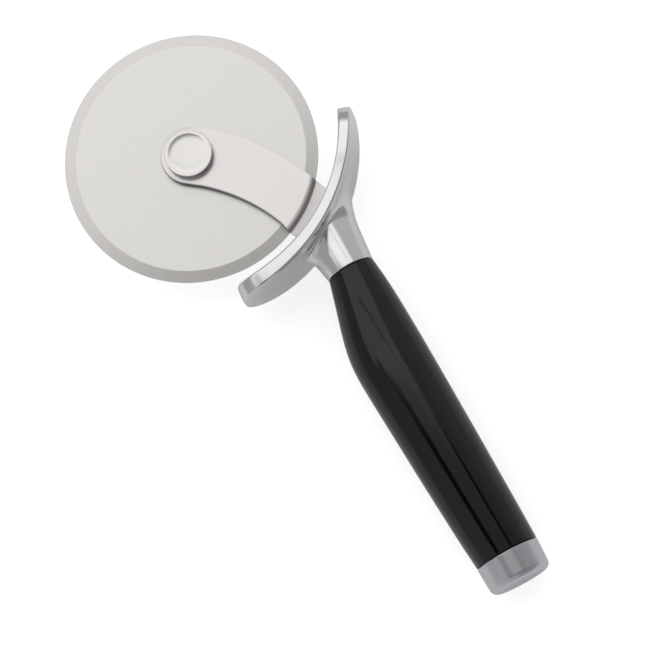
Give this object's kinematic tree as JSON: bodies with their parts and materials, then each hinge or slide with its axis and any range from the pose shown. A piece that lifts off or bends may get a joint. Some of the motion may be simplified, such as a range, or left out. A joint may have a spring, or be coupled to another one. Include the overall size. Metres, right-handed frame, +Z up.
{
  "type": "pizza cutter",
  "caption": "Hand-held pizza cutter: a round blade that turns at the end of a side arm, with a curved finger guard and a straight grip, lying on its side.",
  "frame": {"origin": "centre of the footprint of the cutter as it lies on its side, on the surface it lies on", "axes": "+X from the blade towards the end cap, +Y towards the side of the guard's longer wing, +Z up, on the side of the arm and the hub cap"},
  "size_m": [0.2282, 0.1014, 0.0333],
  "materials": {
    "ground_stainless_blade": "satin, with a ground bevel at the edge",
    "brushed_stainless_arm": "brushed sheet",
    "satin_cast_guard": "polished casting, satin plated",
    "satin_end_cap": "drawn, satin",
    "turned_axle_steel": "turned",
    "zinc_plated_fixings": "zinc plated",
    "natural_nylon": "moulded, uncoloured",
    "gloss_black_grip": "moulded, glossy black"
  },
  "bodies": {
    "handle": {"side_arm": "brushed_stainless_arm", "guard_and_neck": "satin_cast_guard", "tang_pin": "zinc_plated_fixings", "handle_grip": "gloss_black_grip", "tie_rod": "zinc_plated_fixings", "clamp_washer": "zinc_plated_fixings", "clamp_nut": "zinc_plated_fixings", "end_cap": "satin_end_cap", "front_washer": "natural_nylon", "rear_washer": "natural_nylon", "axle_rivet": "turned_axle_steel", "hub_cap": "brushed_stainless_arm"},
    "wheel": {"blade_wheel": "ground_stainless_blade", "wheel_bushing": "natural_nylon"}
  },
  "joints": [
    {"name": "wheel_spin", "type": "hinge", "parent": "handle", "child": "wheel", "pos_m": [-0.06966, -0.00623, 0.01831], "axis": [0.041, 0, 0.9992], "continuous": true}
  ]
}
